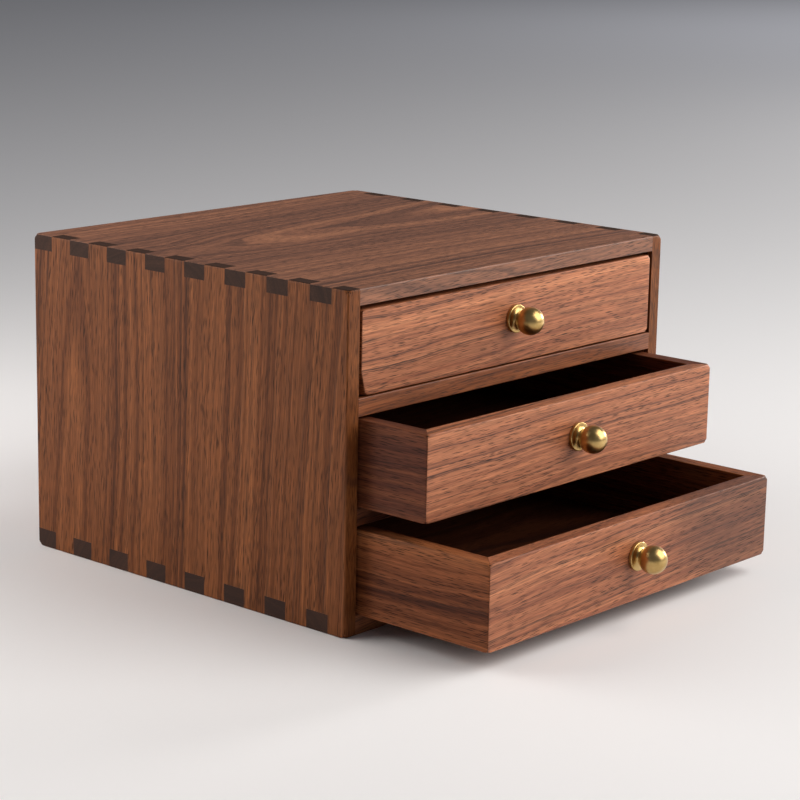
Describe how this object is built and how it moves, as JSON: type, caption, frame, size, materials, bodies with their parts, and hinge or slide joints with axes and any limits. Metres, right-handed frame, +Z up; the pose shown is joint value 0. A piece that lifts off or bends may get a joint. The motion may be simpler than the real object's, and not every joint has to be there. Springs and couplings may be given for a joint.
{
  "type": "desktop drawer chest",
  "caption": "Small walnut desktop chest with finger-jointed carcass, stacked sliding mitred drawers and turned brass ball knobs.",
  "frame": {"origin": "middle of the carcass's underside, on the surface that it stands on", "axes": "+Z up, front of the chest faces -Y and the drawers open along -Y, +X to the right seen from the front"},
  "size_m": [0.277, 0.3618, 0.19],
  "materials": {
    "walnut_carcass": "oiled black walnut, planed and sanded, satin",
    "walnut_drawer": "oiled black walnut, planed and sanded, satin",
    "brass": "turned and satin polished, clear lacquered",
    "steel": "plain zinc-plated machine screw"
  },
  "bodies": {
    "carcass": {"carcass_side_left": "walnut_carcass", "carcass_side_right": "walnut_carcass", "carcass_top": "walnut_carcass", "carcass_bottom": "walnut_carcass", "carcass_back": "walnut_carcass", "divider_lower": "walnut_carcass", "divider_upper": "walnut_carcass"},
    "drawer_top": {"drawer_top_front": "walnut_drawer", "drawer_top_side_left": "walnut_drawer", "drawer_top_side_right": "walnut_drawer", "drawer_top_back": "walnut_drawer", "drawer_top_bottom": "walnut_drawer", "drawer_top_knob": "brass", "drawer_top_screw": "steel"},
    "drawer_middle": {"drawer_middle_front": "walnut_drawer", "drawer_middle_side_left": "walnut_drawer", "drawer_middle_side_right": "walnut_drawer", "drawer_middle_back": "walnut_drawer", "drawer_middle_bottom": "walnut_drawer", "drawer_middle_knob": "brass", "drawer_middle_screw": "steel"},
    "drawer_bottom": {"drawer_bottom_front": "walnut_drawer", "drawer_bottom_side_left": "walnut_drawer", "drawer_bottom_side_right": "walnut_drawer", "drawer_bottom_back": "walnut_drawer", "drawer_bottom_bottom": "walnut_drawer", "drawer_bottom_knob": "brass", "drawer_bottom_screw": "steel"}
  },
  "joints": [
    {"name": "drawer_top_slide", "type": "slide", "parent": "carcass", "child": "drawer_top", "axis": [0, -1, 0], "range_m": [0, 0.2]},
    {"name": "drawer_middle_slide", "type": "slide", "parent": "carcass", "child": "drawer_middle", "axis": [0, -1, 0], "range_m": [-0.047, 0.153]},
    {"name": "drawer_bottom_slide", "type": "slide", "parent": "carcass", "child": "drawer_bottom", "axis": [0, -1, 0], "range_m": [-0.091, 0.109]}
  ]
}
